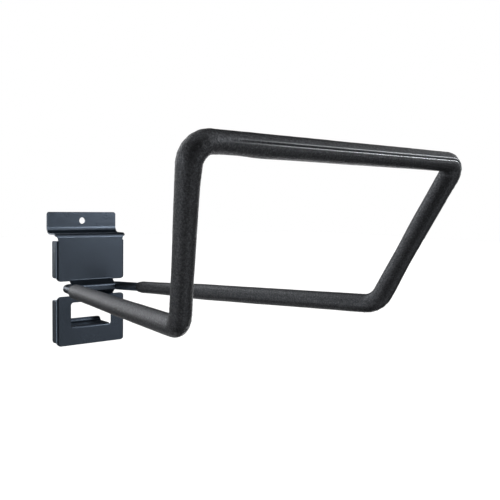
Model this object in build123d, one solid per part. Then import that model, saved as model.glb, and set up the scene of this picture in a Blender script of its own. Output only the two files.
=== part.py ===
"""Padded loop rack for a slatted wall panel.

A bent sheet-steel bracket hooks into two neighbouring slots of the panel. A bent
steel rod runs through a tunnel pressed into the bracket's neck and comes forward
as two spreading arms, two legs and a top bar, all in one foam sleeve.

Millimetres. X is across, -Y points away from the wall and +Z is up. The origin is
in the panel's face, at mid-width, under the upper hook where it rests in its slot.
"""
import os

from build123d import *

# --- slatted panel that the bracket hooks into ---
SLOT_PITCH = 76.2         # from one slot to the next
LIP_SPACE = 8.3           # from the panel's face to the hooks behind the slat's lip

# --- sheet-steel bracket ---
SHEET = 1.2               # thickness
FLANGE_BEND = 0.8         # inner radii of the folds
LEDGE_BEND = 2.4          # between a plate and the ledge of a hook
TAB_BEND = 4.8            # between the upper ledge and the tab
STANDOFF = 8.4            # from the panel's face to the front of the bracket

TAB_WIDTH = 62.6
TAB_RISE = 17.1           # above the upper hook's top face
TAB_CORNER = 2.2
HOLE_DIAMETER = 5.5       # for a screw that locks the tab
HOLE_HEIGHT = 11.0

PLATE_WIDTH = 61.5        # over the folded side flanges
PLATE_CORNER = 4.0        # radius of a plate's corners
UPPER_TOP = -4.9          # where the upper plate's flanges begin, under the hook
UPPER_BOTTOM = -37.8
LOWER_TOP = -50.1
LOWER_BOTTOM = -90.7
FLANGE_INSET = 2.7        # from a plate's end to the end of its flange
FLANGE_ROUND = 2.2

RELIEF_RADIUS = 3.1       # notch between the upper hook and the side flange
RELIEF_CENTRE = (32.1, -4.0)

NECK_WIDTH = 38.5
TUNNEL_RISE = 5.0         # how far the tunnel stands in front of the plates
TUNNEL_FACE = 3.6         # height of the tunnel's front, along the middle of the sheet
TUNNEL_BASE = 13.0        # height of its foot, along the middle of the sheet
TUNNEL_BEND = 0.9
TUNNEL_LAP = 2.0          # flat of the neck above and below the tunnel

WINDOW_WIDTH = 36.6
WINDOW_TOP = -55.5
WINDOW_CORNER = 2.4
TONGUE_WIDTH = 33.4
TONGUE_RISE = 3.6         # of the lower hook, above its ledge
TONGUE_FOLD = 0.8         # between the lower plate and the tongue's ledge
TONGUE_BEND = 2.2         # between the ledge and its turned-up end
TONGUE_CORNER = 2.2
TONGUE_ROOT = 4.2         # flat of the tongue below its ledge
SLIT_DEPTH = 1.5          # of the slits beside the tongue, below its ledge's top

# --- rod ---
ROD_DIAMETER = 7.0
ROD_Z = -43.7             # axis in the tunnel
ROD_Y = -STANDOFF + 1.5
ROD_GAP = 0.6             # between the two ends, which meet in the tunnel
ARM_ROOT = 22.2           # half the spacing of the arms in the plane of the plates
ROOT_BEND = 6.0           # bend radii, to the rod's axis
LOWER_BEND = 13.6
UPPER_BEND = 8.6
LOWER_CORNER = (75.1, -249.3, -34.5)  # where the axes of arm and leg would meet
UPPER_CORNER = (97.7, -289.5, 54.2)  # where the axes of leg and top bar would meet

# --- foam sleeve ---
FOAM_DIAMETER = 11.6
FOAM_START = 29.8         # from the arm's root to the sleeve's end
FOAM_TAPER = 4.5          # length of the tapered end
FOAM_LIP = 0.5            # thickness left at the very end
FOAM_BORE = ROD_DIAMETER + 0.1

# --- welds in the tunnel ---
WELD_RADIUS = 2.0
WELD_LENGTH = 9.0
WELD_OFFSET = 9.0         # from mid-width to a bead's middle
WELD_Y = ROD_Y - 0.7
WELD_RISE = 4.7           # above and below the rod's axis

CLEAR = 1.0               # how far a cut runs past the sheet
TRIM = 0.02               # how much wider than a plate the outline that trims it is
PLATE_Y = -STANDOFF + SHEET / 2         # middle of the plates' sheet
HOOK_Y = LIP_SPACE + SHEET / 2          # middle of the hooks' sheet


def bent_sheet(points, inner_radii, width, across):
    """Sheet folded along a line of points through the middle of its thickness."""
    path = FilletPolyline(*points, radius=[radius + SHEET / 2 for radius in inner_radii])
    section = Plane(origin=path @ 0, x_dir=across, z_dir=path % 0) * Rectangle(width, SHEET)
    return sweep(section, path)


def block(x, y, z):
    """Box between two values on each axis."""
    size = [high - low for low, high in (x, y, z)]
    centre = [(high + low) / 2 for low, high in (x, y, z)]
    return Pos(*centre) * Box(*size)


def upper_hook():
    """Tab, ledge and the top of the upper plate, notched above the side flanges."""
    ledge_z = SHEET / 2
    points = [
        (0, HOOK_Y, SHEET + TAB_RISE),
        (0, HOOK_Y, ledge_z),
        (0, PLATE_Y, ledge_z),
        (0, PLATE_Y, UPPER_TOP),
    ]
    hook = bent_sheet(points, [TAB_BEND, LEDGE_BEND], TAB_WIDTH, (1, 0, 0))
    top_corners = hook.edges().filter_by(Axis.Y).group_by(Axis.Z)[-1]
    hook = fillet(top_corners, TAB_CORNER)
    hook -= Pos(0, HOOK_Y, HOLE_HEIGHT) * Rot(90, 0, 0) * Cylinder(HOLE_DIAMETER / 2, 4 * SHEET)
    notch_x, notch_z = RELIEF_CENTRE
    for sign in (-1, 1):
        notch = Rot(90, 0, 0) * Cylinder(RELIEF_RADIUS, 2 * SHEET)
        hook -= Pos(sign * notch_x, PLATE_Y, notch_z) * notch
    return hook


def plate(bottom, top, outline, flange):
    """Flat plate with a flange folded back at each side, trimmed to two outlines."""
    side = PLATE_WIDTH / 2 - SHEET / 2
    points = [(-side, 0), (-side, PLATE_Y), (side, PLATE_Y), (side, 0)]
    path = FilletPolyline(*points, radius=FLANGE_BEND + SHEET / 2)
    section = Plane(origin=path @ 0, x_dir=(0, 0, 1), z_dir=path % 0) * Rectangle(top - bottom, SHEET)
    channel = Pos(0, 0, (bottom + top) / 2) * sweep(section, path)
    front = extrude(Plane.XZ.offset(2 * STANDOFF) * outline, -3 * STANDOFF)
    across = (-PLATE_WIDTH, PLATE_WIDTH)
    keep = extrude(Plane.YZ * flange, PLATE_WIDTH, both=True)
    keep += block(across, (-2 * STANDOFF, -STANDOFF + SHEET), (bottom, top))
    return channel & front & keep


def upper_plate():
    """Plate under the upper hook, rounded at its two bottom corners."""
    height = UPPER_TOP - UPPER_BOTTOM
    outline = Pos(0, UPPER_BOTTOM + height / 2) * Rectangle(PLATE_WIDTH + TRIM, height)
    outline = fillet(outline.vertices().group_by(Axis.Y)[0], PLATE_CORNER)
    height -= FLANGE_INSET
    flange = Pos(-STANDOFF / 2, UPPER_TOP - height / 2) * Rectangle(STANDOFF, height)
    flange = fillet(flange.vertices().group_by(Axis.X)[-1], FLANGE_ROUND)
    return plate(UPPER_BOTTOM, UPPER_TOP, outline, flange)


def lower_plate():
    """Plate below the tunnel, rounded at all four corners."""
    height = LOWER_TOP - LOWER_BOTTOM
    outline = Pos(0, LOWER_BOTTOM + height / 2) * Rectangle(PLATE_WIDTH + TRIM, height)
    outline = fillet(outline.vertices(), PLATE_CORNER)
    middle = (LOWER_TOP + LOWER_BOTTOM) / 2
    flange = Pos(-STANDOFF / 2, middle) * Rectangle(STANDOFF, height - 2 * FLANGE_INSET)
    flange = fillet(flange.vertices().group_by(Axis.X)[-1], FLANGE_ROUND)
    return plate(LOWER_BOTTOM, LOWER_TOP, outline, flange)


def neck():
    """Narrow strip between the plates, pressed forward into a tunnel over the rod."""
    face, foot = TUNNEL_FACE / 2, TUNNEL_BASE / 2
    crest_y = PLATE_Y - TUNNEL_RISE
    points = [
        (0, PLATE_Y, ROD_Z + foot + TUNNEL_LAP),
        (0, PLATE_Y, ROD_Z + foot),
        (0, crest_y, ROD_Z + face),
        (0, crest_y, ROD_Z - face),
        (0, PLATE_Y, ROD_Z - foot),
        (0, PLATE_Y, ROD_Z - foot - TUNNEL_LAP),
    ]
    return bent_sheet(points, [TUNNEL_BEND] * 4, NECK_WIDTH, (1, 0, 0))


def tunnel_room():
    """Space that the neck's tunnel needs in the edges of the two plates."""
    half = TUNNEL_BASE / 2 + TUNNEL_LAP
    across = (-NECK_WIDTH / 2, NECK_WIDTH / 2)
    return block(across, (-STANDOFF - CLEAR, CLEAR), (ROD_Z - half, ROD_Z + half))


def window():
    """Opening in the lower plate, with a slit down each side of the tongue."""
    ledge_top = SHEET - SLOT_PITCH
    floor = ledge_top - SLIT_DEPTH
    height = WINDOW_TOP - floor
    outline = Pos(0, (WINDOW_TOP + floor) / 2) * RectangleRounded(WINDOW_WIDTH, height, WINDOW_CORNER)
    outline -= Pos(0, floor) * Rectangle(TONGUE_WIDTH, 2 * SLIT_DEPTH)
    return extrude(Plane.XZ.offset(STANDOFF + CLEAR) * outline, -SHEET - 2 * CLEAR)


def tongue():
    """Lower hook, bent back out of the window's lower edge and turned up."""
    ledge_z = SHEET / 2 - SLOT_PITCH
    points = [
        (0, PLATE_Y, ledge_z - TONGUE_ROOT),
        (0, PLATE_Y, ledge_z),
        (0, HOOK_Y, ledge_z),
        (0, HOOK_Y, ledge_z + SHEET / 2 + TONGUE_RISE),
    ]
    hook = bent_sheet(points, [TONGUE_FOLD, TONGUE_BEND], TONGUE_WIDTH, (1, 0, 0))
    tip = hook.edges().filter_by(Axis.Y).group_by(Axis.Z)[-1]
    return fillet(tip, TONGUE_CORNER)


def slatwall_bracket():
    """Whole bracket as one folded sheet."""
    ledge_z = SHEET / 2 - SLOT_PITCH
    room_for_tongue = block(
        (-TONGUE_WIDTH / 2, TONGUE_WIDTH / 2),
        (-STANDOFF - CLEAR, -STANDOFF + SHEET + CLEAR),
        (ledge_z - TONGUE_ROOT, ledge_z + TONGUE_ROOT),
    )
    plates = upper_plate() + lower_plate()
    plates -= tunnel_room() + window() + room_for_tongue
    return upper_hook() + plates + neck() + tongue()


def mirrored(point):
    """The same point on the other side."""
    x, y, z = point
    return (-x, y, z)


def rod_root():
    """Point where the rod's axis in the tunnel would meet the axis of the +X arm."""
    outward = (LOWER_CORNER[0] - ARM_ROOT) / (LOWER_CORNER[1] + STANDOFF)
    return (ARM_ROOT + outward * (ROD_Y + STANDOFF), ROD_Y, ROD_Z)


def rod_loop():
    """Rod from one end in the tunnel, round the loop and back to the other end."""
    end = (ROD_GAP / 2, ROD_Y, ROD_Z)
    points = [end, rod_root(), LOWER_CORNER, UPPER_CORNER]
    points += [mirrored(point) for point in reversed(points)]
    radii = [ROOT_BEND, LOWER_BEND, UPPER_BEND]
    path = FilletPolyline(*points, radius=radii + radii[::-1])
    section = Plane(origin=path @ 0, z_dir=path % 0) * Circle(ROD_DIAMETER / 2)
    return sweep(section, path)


def foam_sleeve():
    """Foam tube over the arms, legs and top bar, tapered at its two ends."""
    root = Vector(*rod_root())
    along = (Vector(*LOWER_CORNER) - root).normalized()
    start = root + along * (FOAM_START + FOAM_TAPER)
    points = [tuple(start), LOWER_CORNER, UPPER_CORNER]
    points += [mirrored(point) for point in reversed(points)]
    radii = [LOWER_BEND, UPPER_BEND]
    path = FilletPolyline(*points, radius=radii + radii[::-1])
    ring = Circle(FOAM_DIAMETER / 2) - Circle(FOAM_BORE / 2)
    sleeve = sweep(Plane(origin=path @ 0, z_dir=path % 0) * ring, path)
    cone = Cone(FOAM_BORE / 2 + FOAM_LIP, FOAM_DIAMETER / 2, FOAM_TAPER)
    cone -= Cylinder(FOAM_BORE / 2, 2 * FOAM_TAPER)
    for sign in (1, -1):
        centre = start - along * (FOAM_TAPER / 2)
        place = Plane(
            origin=(sign * centre.X, centre.Y, centre.Z),
            z_dir=(sign * along.X, along.Y, along.Z),
        )
        sleeve += place * cone
    return sleeve


def tunnel_welds(bracket, rod):
    """Four beads that fix the rod in the tunnel, laid from the back."""
    beads = []
    for across in (-WELD_OFFSET, WELD_OFFSET):
        for up in (-WELD_RISE, WELD_RISE):
            middle = Pos(across, WELD_Y, ROD_Z + up)
            bead = middle * Rot(0, 90, 0) * Cylinder(WELD_RADIUS, WELD_LENGTH)
            for end in (-WELD_LENGTH / 2, WELD_LENGTH / 2):
                bead += middle * Pos(end, 0, 0) * Sphere(WELD_RADIUS)
            beads.append(bead - rod - bracket)
    return Compound(children=beads)


def main():
    """Make every sub-part and write one STEP file for each."""
    bracket = slatwall_bracket()
    rod = rod_loop()
    nodes = {
        "slatwall_bracket": bracket,
        "rod_loop": rod,
        "foam_sleeve": foam_sleeve(),
        "tunnel_welds": tunnel_welds(bracket, rod),
    }
    os.makedirs("parts", exist_ok=True)
    for name, shape in nodes.items():
        export_step(shape, f"parts/{name}.step")


main()
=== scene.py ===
from math import cos, exp, pi, radians, sin, tan

import bpy
from mathutils import Matrix, Vector, noise

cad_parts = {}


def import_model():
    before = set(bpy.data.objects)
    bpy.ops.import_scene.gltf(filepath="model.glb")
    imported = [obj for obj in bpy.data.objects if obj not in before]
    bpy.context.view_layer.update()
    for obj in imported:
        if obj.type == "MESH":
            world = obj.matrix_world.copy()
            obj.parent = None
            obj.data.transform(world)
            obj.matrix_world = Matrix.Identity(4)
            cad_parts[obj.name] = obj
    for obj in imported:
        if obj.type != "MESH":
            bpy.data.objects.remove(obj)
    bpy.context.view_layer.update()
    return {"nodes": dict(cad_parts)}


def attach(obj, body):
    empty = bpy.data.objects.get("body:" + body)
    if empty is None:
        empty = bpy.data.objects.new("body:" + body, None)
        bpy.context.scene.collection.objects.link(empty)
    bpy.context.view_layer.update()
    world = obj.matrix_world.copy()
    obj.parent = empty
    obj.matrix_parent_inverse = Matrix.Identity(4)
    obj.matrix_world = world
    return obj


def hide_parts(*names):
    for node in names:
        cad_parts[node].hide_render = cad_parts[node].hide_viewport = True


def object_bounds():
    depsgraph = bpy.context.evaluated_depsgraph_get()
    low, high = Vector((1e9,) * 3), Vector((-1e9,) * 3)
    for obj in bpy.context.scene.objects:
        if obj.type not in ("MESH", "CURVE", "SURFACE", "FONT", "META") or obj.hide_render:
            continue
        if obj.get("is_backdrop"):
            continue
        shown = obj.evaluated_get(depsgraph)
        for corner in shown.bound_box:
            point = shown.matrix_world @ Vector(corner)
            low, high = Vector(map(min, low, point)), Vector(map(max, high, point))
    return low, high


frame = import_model()

MM = 0.001
SCENE = bpy.context.scene
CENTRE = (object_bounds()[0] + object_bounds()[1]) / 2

# Foam sleeve: the rod's axis and the sleeve on it, in millimetres.
PLATES_Y = -8.4                          # front of the bracket's plates
ROD_Y, ROD_Z = -6.9, -43.7               # rod's axis in the tunnel
ARM_ROOT = 22.2                          # x where an arm's line crosses the plates' front
LOWER_CORNER = Vector((75.1, -249.3, -34.5))
UPPER_CORNER = Vector((97.7, -289.5, 54.2))
LOOP_MIDDLE = Vector((0, -275, 10))
LOWER_BEND, UPPER_BEND = 13.6, 8.6       # bend radii of the axis
FOAM_START = {-1: 28.0, 1: 31.4}         # from each arm's root to the sleeve's end
FOAM_RADIUS, BORE_RADIUS = 5.8, 3.56
FOAM_TAPER, END_LIP = 4.5, 0.5           # length of the tapered end, and its last wall
THINNED = 1.0                            # how much thinner the wall is at the +X end,
THINNED_FROM, THINNED_TO = 15.0, 75.0    # and where along it the full wall comes back
RING_STEP = 1.6                          # between rings of the mesh
BORE_RINGS = 3                           # one ring in so many is kept along the bore

# The slit along the bar: angles in degrees, lengths in millimetres.
SLIT_ANGLE, SLIT_TURN = 34.0, 110.0
SLIT_DEPTH, SLIT_HALF_WIDTH = 1.1, 0.30
SLIT_CLOSED = 0.75                       # share of the gap that is closed below the bar
LIP_HEIGHT, LIP_OFFSET, LIP_SPREAD = 0.36, 0.82, 0.40
# Where the lips are painted pale: partly the paler cut foam, mostly a painted highlight, weaker
# on the outer lip.
LIP_HIGHLIGHT_OFFSET, LIP_HIGHLIGHT_SPREAD, OUTER_LIP_HIGHLIGHT = 0.80, 0.46, 0.8

# Unevenness of the surface, in millimetres; noise scales are per metre.
LUMPS = ((55.0, 0.10), (240.0, 0.05))
RAGGED_SCALE, RAGGED = 600.0, 0.5
SQUEEZE, SQUEEZE_PITCH, BEND_REACH = 0.10, 3.1, 13.0

# Where the foam is thicker or thinner than its nominal wall: a stretch of the loop
# from one point to another, the side it is on, how far it reaches and by how much.
LEFT, RIGHT = Vector((-0.77, 0.64, 0.0)), Vector((0.77, -0.64, 0.0))
UP, DOWN = Vector((0, 0, 1)), Vector((0, 0, -1))
UNEVEN = (
    ((-72, -252, -36), (-74, -251, -28), Vector((0.77, -0.64, -0.05)), 12.0, 0.28),
    ((74, -250, -36), (78, -254, -25), Vector((0.76, -0.63, -0.15)), 13.0, 0.80),
    ((-52, -150, -39), (-68, -225, -36), DOWN, 30.0, 0.30),
    ((-52, -150, -39), (-68, -225, -36), UP, 30.0, -0.30),
    ((42, -105, -41), (70, -230, -36), DOWN, 25.0, 0.52),
    ((42, -105, -41), (70, -230, -36), UP, 25.0, -0.20),
    ((-83, -263, -2), (-78, -254, -22), LEFT, 26.0, -0.45),
    ((-90, -286, 48), (-91, -285, 47), Vector((0.72, 0.0, -0.69)), 7.0, 1.45),
    ((-82, -289, 54), (-72, -289, 54), DOWN, 9.0, -0.60),
    ((98, -290, 53), (97, -289, 50), RIGHT, 9.0, 0.35),
    ((95, -285, 44), (88, -272, 17), LEFT, 14.0, 0.62),
    ((-97, -289, 56), (-96, -289, 55), Vector((-0.60, 0.30, 0.74)), 8.0, 0.25),
)

# Colours, linear.
COOL_COAT, COOL_FOAM = (0.63, 0.78, 1.0), (0.88, 0.92, 1.0)    # tints of the highlights
FOAM_DARK, FOAM_LIGHT = (0.004, 0.004, 0.004), (0.008, 0.008, 0.008)
FLECK, SPECK = (0.018, 0.019, 0.020), (0.060, 0.065, 0.072)
# The slit's lips: paler cut foam, and mostly a painted highlight.
LIP_DARK, LIP_BRIGHT_HIGHLIGHT = (0.10, 0.10, 0.105), (0.84, 0.87, 0.90)
FLOOR_DARK, FLOOR_LIGHT = (0.93, 0.93, 0.93), (0.95, 0.95, 0.95)

COATS = (
    # name, node, dark tone, light tone, lowest and highest roughness, orange peel in millimetres
    ("bracket_coat", "slatwall_bracket",
     (0.003, 0.004, 0.006), (0.008, 0.012, 0.016), 0.27, 0.36, 0.02),
    ("rod_coat", "rod_loop",
     (0.012, 0.012, 0.013), (0.020, 0.020, 0.021), 0.26, 0.34, 0.02),
    ("weld_coat", "tunnel_welds",
     (0.004, 0.006, 0.008), (0.006, 0.009, 0.012), 0.30, 0.40, 0.06),
)

# Studio, in metres and radians; the lens and the sensor are in millimetres.
CAMERA_PLACE = Vector((-0.26934, -0.53644, 0.02791))
CAMERA_YAW, CAMERA_PITCH, CAMERA_ROLL = 0.695, -0.067, 0.015
CAMERA_LENS, CAMERA_SENSOR = 50.353, 36.0
CAMERA_NEAR, CAMERA_FAR = 0.01, 50.0
LIGHT_DISTANCE = 1.0
FLOOR_HALF, FLOOR_DROP = 14.0, 0.7
WASH_SIZE, WASH_WATTS, WASH_HEIGHT = 56.0, 12000.0, 0.4
LIGHTS = (
    # name, azimuth, elevation, width, height, watts
    ("front_right", 40.0, 16.0, 0.32, 0.32, 2.3),
    ("front_low", 31.0, -12.0, 0.50, 0.30, 0.26),
    ("under", 20.0, -50.0, 0.60, 0.60, 1.0),
    ("bend_light", 30.0, 50.0, 0.40, 0.40, 0.9),
    ("seam_light", 62.0, 20.0, 0.25, 0.25, 0.45),
    ("right", 95.0, 24.0, 0.45, 0.45, 0.9),
    ("back_right", 122.0, -20.0, 0.45, 0.80, 3.2),
    ("back_top", 165.0, 50.0, 0.45, 0.45, 0.5),
    ("back_low", 170.0, -45.0, 0.60, 0.60, 1.0),
    ("back_left", -165.0, 8.0, 0.30, 0.30, 1.3),
    ("back_left_top", -162.0, 36.0, 0.45, 0.60, 2.8),
    ("back_left_low", -160.0, -6.0, 0.45, 0.45, 0.13),
    ("left_high", -125.0, 20.0, 0.40, 0.60, 0.6),
    ("left", -100.0, -8.0, 0.70, 0.90, 3.2),
    ("top_left", -60.0, 65.0, 0.42, 0.42, 1.0),
    ("low_left", -60.0, -40.0, 0.60, 0.60, 0.65),
)


# ---------------------------------------------------------------- materials

class Shader:
    """Principled material whose texture nodes are added one call at a time."""

    def __init__(self, name, highlight=None, **constants):
        self.material = bpy.data.materials.new(name)
        self.material.use_nodes = True
        self.nodes = self.material.node_tree.nodes
        self.links = self.material.node_tree.links
        self.bsdf = self.nodes["Principled BSDF"]
        for key, value in constants.items():
            self.bsdf.inputs[key.replace("_", " ")].default_value = value
        if highlight:
            self.bsdf.inputs["Specular Tint"].default_value = (*highlight, 1.0)
        self.place = self.nodes.new("ShaderNodeTexCoord").outputs["Object"]

    def texture(self, kind, output, **values):
        """Texture node in the object's own space; its scale is per metre."""
        node = self.nodes.new(kind)
        for key, value in values.items():
            node.inputs[key].default_value = value
        self.links.new(self.place, node.inputs["Vector"])
        return node.outputs[output]

    def noise(self, scale, detail=2.0, roughness=0.5):
        return self.texture("ShaderNodeTexNoise", "Fac",
                            Scale=scale, Detail=detail, Roughness=roughness)

    def cells(self, scale):
        return self.texture("ShaderNodeTexVoronoi", "Distance", Scale=scale)

    def attribute(self, name):
        node = self.nodes.new("ShaderNodeAttribute")
        node.attribute_name = name
        return node.outputs["Fac"]

    def remap(self, value, low, high, to_low, to_high):
        node = self.nodes.new("ShaderNodeMapRange")
        names = ("From Min", "From Max", "To Min", "To Max")
        for name, number in zip(names, (low, high, to_low, to_high)):
            node.inputs[name].default_value = number
        self.links.new(value, node.inputs["Value"])
        return node.outputs["Result"]

    def math(self, operation, first, second):
        node = self.nodes.new("ShaderNodeMath")
        node.operation = operation
        for socket, value in zip(node.inputs, (first, second)):
            if isinstance(value, float):
                socket.default_value = value
            else:
                self.links.new(value, socket)
        return node.outputs["Value"]

    def mix(self, first, second, share):
        """The first value times its share, plus the second times the rest."""
        return self.math("ADD", self.math("MULTIPLY", first, share),
                         self.math("MULTIPLY", second, 1.0 - share))

    def ramp(self, value, *stops):
        """Colour between two stops, each a position and a colour."""
        node = self.nodes.new("ShaderNodeValToRGB")
        for element, (position, colour) in zip(node.color_ramp.elements, stops):
            element.position = position
            element.color = (*colour, 1.0)
        self.links.new(value, node.inputs["Fac"])
        return node.outputs["Color"]

    def blend(self, factor, first, second):
        node = self.nodes.new("ShaderNodeMix")
        node.data_type = "RGBA"
        self.links.new(factor, node.inputs["Factor"])
        for name, value in (("A", first), ("B", second)):
            socket = [s for s in node.inputs if s.name == name and s.type == "RGBA"][0]
            if isinstance(value, tuple):
                socket.default_value = (*value, 1.0)
            else:
                self.links.new(value, socket)
        return [s for s in node.outputs if s.type == "RGBA"][0]

    def bump(self, height, millimetres, strength=1.0, under=None):
        node = self.nodes.new("ShaderNodeBump")
        node.inputs["Distance"].default_value = millimetres * MM
        node.inputs["Strength"].default_value = strength
        self.links.new(height, node.inputs["Height"])
        if under is not None:
            self.links.new(under, node.inputs["Normal"])
        return node.outputs["Normal"]

    def drive(self, name, source):
        """Lets a texture drive one of the surface's inputs."""
        self.links.new(source, self.bsdf.inputs[name])


def powder_coat(name, dark, light, low, high, peel):
    """Satin powder coat: orange peel, fine grain and a slight drift in tone and gloss."""
    coat = Shader(name, COOL_COAT, Metallic=0.0, IOR=1.8, Specular_IOR_Level=0.95)
    drift = coat.noise(28.0, 3.0)
    grain = coat.noise(1900.0, 2.0, 0.6)
    mixed = coat.mix(drift, grain, 0.7)
    coat.drive("Base Color", coat.ramp(mixed, (0.38, dark), (0.62, light)))
    coat.drive("Roughness", coat.remap(mixed, 0.35, 0.65, low, high))
    orange_peel = coat.bump(coat.noise(520.0, 1.0), peel)
    coat.drive("Normal", coat.bump(grain, 0.06, under=orange_peel))
    return coat.material


def foam_skin(name):
    """Closed-cell foam: satin black skin with pores and paler flecks; its slit's lips are paler
    cut foam under a painted highlight.
    """
    foam = Shader(name, COOL_FOAM, IOR=1.68)
    fine = foam.noise(1500.0, 3.0, 0.7)
    grainy = foam.noise(950.0, 2.0, 0.6)
    broad = foam.noise(60.0, 3.0, 0.55)
    mottle = foam.mix(fine, grainy, 0.5)
    body = foam.ramp(broad, (0.35, FOAM_DARK), (0.65, FOAM_LIGHT))
    flecked = foam.blend(foam.remap(mottle, 0.50, 0.62, 0.0, 0.8), body, FLECK)
    flecked = foam.blend(foam.remap(mottle, 0.585, 0.66, 0.0, 0.9), flecked, SPECK)
    # Lips: paler cut foam and, mostly, a painted highlight, in random patches.
    lip_patches = foam.remap(foam.noise(2600.0, 2.0, 0.6), 0.38, 0.58, 0.40, 1.0)
    lip = foam.ramp(lip_patches, (0.0, LIP_DARK), (0.6, LIP_BRIGHT_HIGHLIGHT))
    edge = foam.attribute("slit_lip_highlight")
    foam.drive("Base Color", foam.blend(edge, flecked, lip))
    foam.drive("Metallic", foam.math("MULTIPLY", edge, 0.85))
    foam.drive("Specular IOR Level", foam.remap(mottle, 0.42, 0.58, 0.62, 1.0))
    skin = foam.remap(mottle, 0.40, 0.60, 0.62, 0.44)
    smoother = foam.math("MULTIPLY", edge, 0.30)
    foam.drive("Roughness", foam.math("SUBTRACT", skin, smoother))
    pores = foam.bump(foam.cells(900.0), 0.09, 0.6)
    rough = foam.bump(grainy, 0.20, under=pores)
    foam.drive("Normal", foam.bump(fine, 0.14, under=rough))
    return foam.material


def paint(node, material):
    for slot in frame["nodes"][node].material_slots:
        slot.material = material


# ---------------------------------------------------------------- foam sleeve

def smooth(value, low, high):
    """0 up to low, 1 from high on, and a smooth step between them."""
    t = min(1.0, max(0.0, (value - low) / (high - low)))
    return t * t * (3 - 2 * t)


def bell(value):
    return exp(-value ** 2)


def mirrored(point):
    return Vector((-point.x, point.y, point.z))


def rounded(corners, radii, step):
    """Points along straight runs joined by tangent arcs."""
    points = [corners[0]]
    for before, corner, after, radius in zip(corners, corners[1:], corners[2:], radii):
        back, ahead = (before - corner).normalized(), (after - corner).normalized()
        half = back.angle(ahead) / 2
        centre = corner + (back + ahead).normalized() * (radius / sin(half))
        first = (corner + back * (radius / tan(half)) - centre).normalized()
        last = (corner + ahead * (radius / tan(half)) - centre).normalized()
        count = max(6, round(first.angle(last) * radius / (0.6 * step)))
        points += [centre + first.slerp(last, i / count) * radius for i in range(count + 1)]
    return points + [corners[-1]]


def even(points, step):
    """The same line with points about one step apart."""
    line = [points[0]]
    for first, last in zip(points, points[1:]):
        count = max(1, round((last - first).length / step))
        line += [first.lerp(last, i / count) for i in range(1, count + 1)]
    return line


def sleeve_line():
    """The sleeve's axis from the -X end to the +X end."""
    outward = (LOWER_CORNER.x - ARM_ROOT) / (LOWER_CORNER.y - PLATES_Y)
    root = Vector((ARM_ROOT + outward * (ROD_Y - PLATES_Y), ROD_Y, ROD_Z))
    along = (LOWER_CORNER - root).normalized()
    first, last = (root + along * FOAM_START[side] for side in (-1, 1))
    corners = [mirrored(p) for p in (first, LOWER_CORNER, UPPER_CORNER)]
    corners += [UPPER_CORNER, LOWER_CORNER, last]
    radii = [LOWER_BEND, UPPER_BEND, UPPER_BEND, LOWER_BEND]
    return even(rounded(corners, radii, RING_STEP), RING_STEP)


def distances(line):
    """How far each point is along the line."""
    lengths = [0.0]
    for first, last in zip(line, line[1:]):
        lengths.append(lengths[-1] + (last - first).length)
    return lengths


def carried(line):
    """The sleeve's front and its outward side at each point, without twist from mid-bar."""
    tangents = []
    for i in range(len(line)):
        low, high = max(0, i - 1), min(len(line) - 1, i + 1)
        tangents.append((line[high] - line[low]).normalized())
    middle = len(line) // 2
    front = (UPPER_CORNER - LOWER_CORNER).cross(Vector((1, 0, 0)))
    front = (front if front.y < 0 else -front).normalized()
    fronts = [None] * len(line)
    fronts[middle] = front
    for order in (range(middle + 1, len(line)), range(middle - 1, -1, -1)):
        last = front
        for i in order:
            last = (last - tangents[i] * last.dot(tangents[i])).normalized()
            fronts[i] = last
    sides = [t.cross(f) for t, f in zip(tangents, fronts)]
    outs = [s if s.dot(point - LOOP_MIDDLE) > 0 else -s for s, point in zip(sides, line)]
    return list(zip(fronts, outs))


def slit_angle(x, z):
    """Where the slit faces, from the front towards the outside of the loop, in degrees.

    Down the -X leg it turns aside, between 50 and 15 mm above the origin.
    """
    if x > 0:
        return SLIT_ANGLE
    return SLIT_ANGLE - SLIT_TURN * smooth(-z, -50.0, -15.0)


def slit_opening(x, z):
    """How far the slit gapes: closed at the bar's -X end, and closing down both legs."""
    return smooth(x, -90.0, -40.0) * (1.0 - SLIT_CLOSED * smooth(-z, -40.0, 10.0))


def ring_angles():
    """Angles round the sleeve from its slit, closer together near it."""
    half = [0.0, 1.5, 3.0, 4.5, 6.2, 8.0, 10.0, 12.0, 14.5, 18.0, 22.0, 27.0]
    half += [34.0 + 7.3 * i for i in range(20)]
    return [radians(a) for a in half] + [pi] + [radians(-a) for a in half[:0:-1]]


def unevenness(point, direction):
    extra = 0.0
    for first, last, side, reach, amount in UNEVEN:
        first, run = Vector(first), Vector(last) - Vector(first)
        t = min(1.0, max(0.0, (point - first).dot(run) / run.length_squared))
        away = (point - first - run * t).length
        extra += amount * max(0.0, direction.dot(side)) * bell(away / reach)
    return extra


def skin_radius(point, direction, offset, opening):
    """Radius with lumps, the slit's groove and its raised ragged lips."""
    place = (point + direction * FOAM_RADIUS) * MM
    broad, small = (noise.noise(place * scale) * size for scale, size in LUMPS)
    ragged = 1.0 + RAGGED * noise.noise(place * RAGGED_SCALE)
    groove = -SLIT_DEPTH * opening * bell(offset / SLIT_HALF_WIDTH)
    lips = LIP_HEIGHT * ragged * opening * bell((offset - LIP_OFFSET) / LIP_SPREAD)
    return FOAM_RADIUS + (broad + small) + groove + lips


def tube_faces(rings, count):
    """Quads between rings of count points each, the last ring joined to the first."""
    faces = []
    for i in range(rings):
        j = (i + 1) % rings
        for k in range(count):
            m = (k + 1) % count
            faces.append((i * count + k, j * count + k, j * count + m, i * count + m))
    return faces


def in_scene(name, data):
    item = bpy.data.objects.new(name, data)
    SCENE.collection.objects.link(item)
    return item


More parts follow.
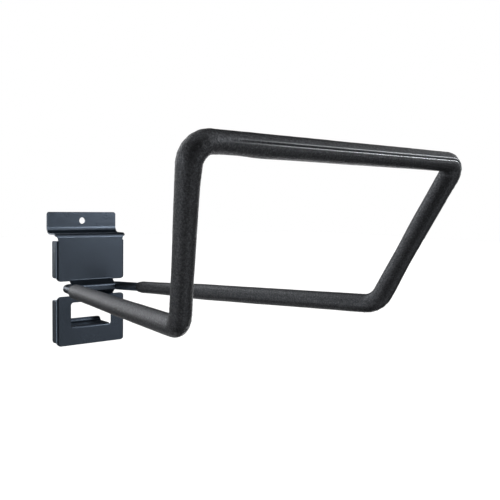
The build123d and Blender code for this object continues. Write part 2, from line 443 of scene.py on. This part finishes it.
def foam_sleeve(material):
    """Split foam tube wrapped on the rod, with its slit, squeezed bends and tapered ends."""
    line = sleeve_line()
    frames = carried(line)
    lengths = distances(line)
    total = lengths[-1]
    angles = ring_angles()
    corners = [LOWER_CORNER, UPPER_CORNER, mirrored(LOWER_CORNER), mirrored(UPPER_CORNER)]

    def around(i):
        """The ring's angles, each with the direction it points in."""
        front, out = frames[i]
        turn = radians(slit_angle(line[i].x, line[i].z))
        return [(a, front * cos(a + turn) + out * sin(a + turn)) for a in angles]

    vertices, edges = [], []
    for i, (point, s) in enumerate(zip(line, lengths)):
        taper = smooth(min(s, total - s), -1.0, FOAM_TAPER)
        thin = THINNED * (1.0 - smooth(total - s, THINNED_FROM, THINNED_TO))
        bend = max(bell((point - corner).length / BEND_REACH) for corner in corners)
        squeeze = SQUEEZE * bend * sin(2 * pi * s / SQUEEZE_PITCH)
        opening = slit_opening(point.x, point.z)
        # The lips' painted highlight is half as strong at the -X end and full towards +X.
        highlight_gain = 0.5 + 0.5 * smooth(point.x, -70.0, 60.0)
        inner_side = -1 if slit_angle(point.x, point.z) > 0 else 1
        for angle, direction in around(i):
            offset = abs(angle) * FOAM_RADIUS
            radius = skin_radius(point, direction, offset, opening) + squeeze - thin
            radius += unevenness(point, direction)
            radius = BORE_RADIUS + END_LIP + (radius - BORE_RADIUS - END_LIP) * taper
            vertices.append((point + direction * radius) * MM)
            # Painted highlight on the lips: full on the inner (lower) lip, weaker on the outer
            # one.
            pale = 1.0 if angle * inner_side > 0 else OUTER_LIP_HIGHLIGHT
            edges.append(pale * opening * highlight_gain * bell((offset - LIP_HIGHLIGHT_OFFSET) / LIP_HIGHLIGHT_SPREAD))
    bore = list(range(len(line) - 1, 0, -BORE_RINGS)) + [0]
    for i in bore:
        for angle, direction in around(i):
            vertices.append((line[i] + direction * BORE_RADIUS) * MM)
            edges.append(0.0)

    faces = tube_faces(len(line) + len(bore), len(angles))
    mesh = bpy.data.meshes.new("foam_sleeve_skin")
    mesh.from_pydata(vertices, [], faces)
    mesh.polygons.foreach_set("use_smooth", [True] * len(faces))
    mesh.attributes.new("slit_lip_highlight", "FLOAT", "POINT").data.foreach_set("value", edges)
    mesh.materials.append(material)
    return in_scene("foam_sleeve_skin", mesh)


# ---------------------------------------------------------------- studio

def camera():
    """In front of the object, to its left and a little above its middle."""
    yaw, pitch, roll = CAMERA_YAW, CAMERA_PITCH, CAMERA_ROLL
    ahead = Vector((sin(yaw) * cos(pitch), cos(yaw) * cos(pitch), sin(pitch)))
    right = Vector((cos(yaw), -sin(yaw), 0.0))
    up = right.cross(ahead)
    right, up = cos(roll) * right + sin(roll) * up, cos(roll) * up - sin(roll) * right
    data = bpy.data.cameras.new("camera")
    data.sensor_width, data.lens = CAMERA_SENSOR, CAMERA_LENS
    data.clip_start, data.clip_end = CAMERA_NEAR, CAMERA_FAR
    item = in_scene("camera", data)
    turned = Matrix((right, up, -ahead)).transposed().to_4x4()
    item.matrix_world = Matrix.Translation(CAMERA_PLACE) @ turned
    SCENE.camera = item


def soft_light(name, azimuth, elevation, width, height, power):
    """Softbox that looks at the object's middle; azimuth 0 stands on the -Y side."""
    a, e = radians(azimuth), radians(elevation)
    back = Vector((sin(a) * cos(e), -cos(a) * cos(e), sin(e)))
    data = bpy.data.lights.new(name, "AREA")
    data.shape, data.size, data.size_y = "RECTANGLE", width, height
    data.energy = power
    item = in_scene(name, data)
    item.location = CENTRE + back * LIGHT_DISTANCE
    item.rotation_euler = (-back).to_track_quat("-Z", "Y").to_euler()
    item.visible_camera = False
    return item


def floor():
    """Pale floor below the object, which only the camera sees, under its own wide light."""
    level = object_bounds()[0].z - FLOOR_DROP
    wash = soft_light("floor_wash", 0.0, 90.0, WASH_SIZE, WASH_SIZE, WASH_WATTS)
    wash.location.z = level + WASH_HEIGHT
    pale = Shader("pale_floor", Roughness=0.8)
    tone = pale.ramp(pale.noise(2.0), (0.4, FLOOR_DARK), (0.6, FLOOR_LIGHT))
    pale.drive("Base Color", tone)
    signs = ((-1, -1), (1, -1), (1, 1), (-1, 1))
    corners = [(x * FLOOR_HALF, y * FLOOR_HALF, level) for x, y in signs]
    mesh = bpy.data.meshes.new("floor")
    mesh.from_pydata(corners, [], [(0, 1, 2, 3)])
    mesh.materials.append(pale.material)
    item = in_scene("floor", mesh)
    item.visible_diffuse = item.visible_glossy = False
    item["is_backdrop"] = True


def world():
    """White for the camera only, so that the softboxes alone light the object."""
    sky = bpy.data.worlds.new("studio")
    sky.use_nodes = True
    tree = sky.node_tree
    back = tree.nodes["Background"]
    back.inputs["Color"].default_value = (1, 1, 1, 1)
    rays = tree.nodes.new("ShaderNodeLightPath")
    tree.links.new(rays.outputs["Is Camera Ray"], back.inputs["Strength"])
    SCENE.world = sky


# ---------------------------------------------------------------- scene

for name, node, *look in COATS:
    paint(node, powder_coat(name, *look))

sleeve = foam_sleeve(foam_skin("foam_skin"))
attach(sleeve, "root")
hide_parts("foam_sleeve")

floor()
for light in LIGHTS:
    soft_light(*light)
world()
camera()
SCENE.view_settings.view_transform = "Standard"
